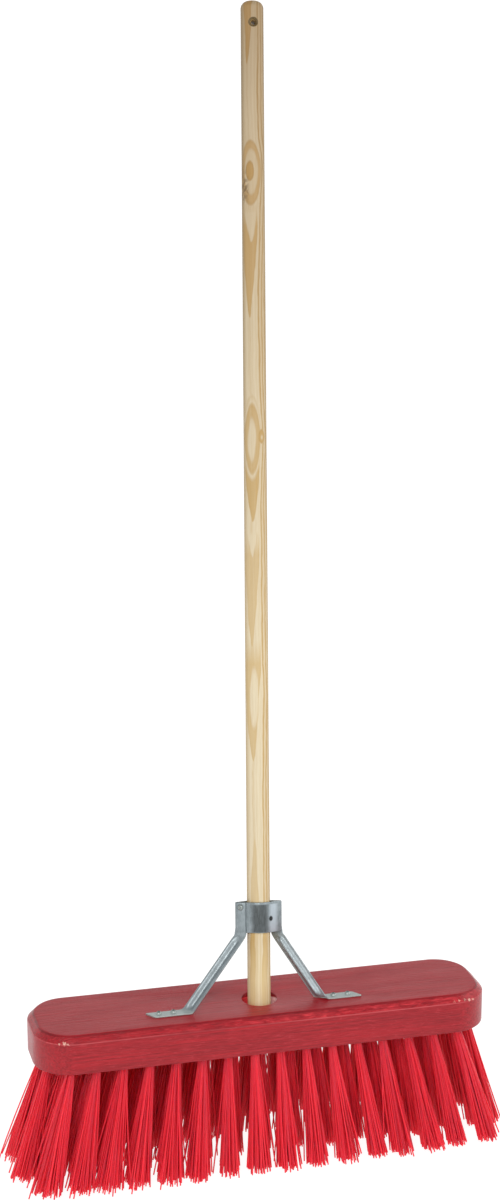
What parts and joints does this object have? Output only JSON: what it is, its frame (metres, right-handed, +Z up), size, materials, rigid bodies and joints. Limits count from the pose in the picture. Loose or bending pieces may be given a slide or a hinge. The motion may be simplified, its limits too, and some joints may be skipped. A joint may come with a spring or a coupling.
{
  "type": "push broom",
  "caption": "Street push broom: painted wooden block with rounded ends, leaning wooden handle in a two-piece steel brace, and splayed rows of stiff plastic bristle tufts.",
  "frame": {"origin": "on the floor, at the level of the bristle tips, under the centre of the block", "axes": "+X along the block to the right, +Y to the rear, the way the handle leans, +Z up"},
  "size_m": [0.5444, 0.37, 1.2162],
  "materials": {
    "painted_wood": "gloss red paint",
    "pine": "sanded, unvarnished",
    "galvanised_steel": "zinc plated, satin",
    "zinc_fastener": "zinc plated",
    "bristle_plastic": "satin filaments",
    "anchor_wire": "bright wire"
  },
  "bodies": {
    "root": {"block": "painted_wood", "handle": "pine", "bracket_front_half": "galvanised_steel", "bracket_rear_half": "galvanised_steel", "flap_rivet_left": "zinc_fastener", "flap_rivet_right": "zinc_fastener", "foot_screw_left_inner": "zinc_fastener", "foot_screw_left_outer": "zinc_fastener", "foot_screw_right_inner": "zinc_fastener", "foot_screw_right_outer": "zinc_fastener", "collar_nail_front": "zinc_fastener", "collar_nail_rear": "zinc_fastener", "tufts_front": "bristle_plastic", "anchor_wires_front": "anchor_wire", "tufts_front_middle": "bristle_plastic", "anchor_wires_front_middle": "anchor_wire", "tufts_rear_middle": "bristle_plastic", "anchor_wires_rear_middle": "anchor_wire", "tufts_rear": "bristle_plastic", "anchor_wires_rear": "anchor_wire"}
  },
  "joints": []
}
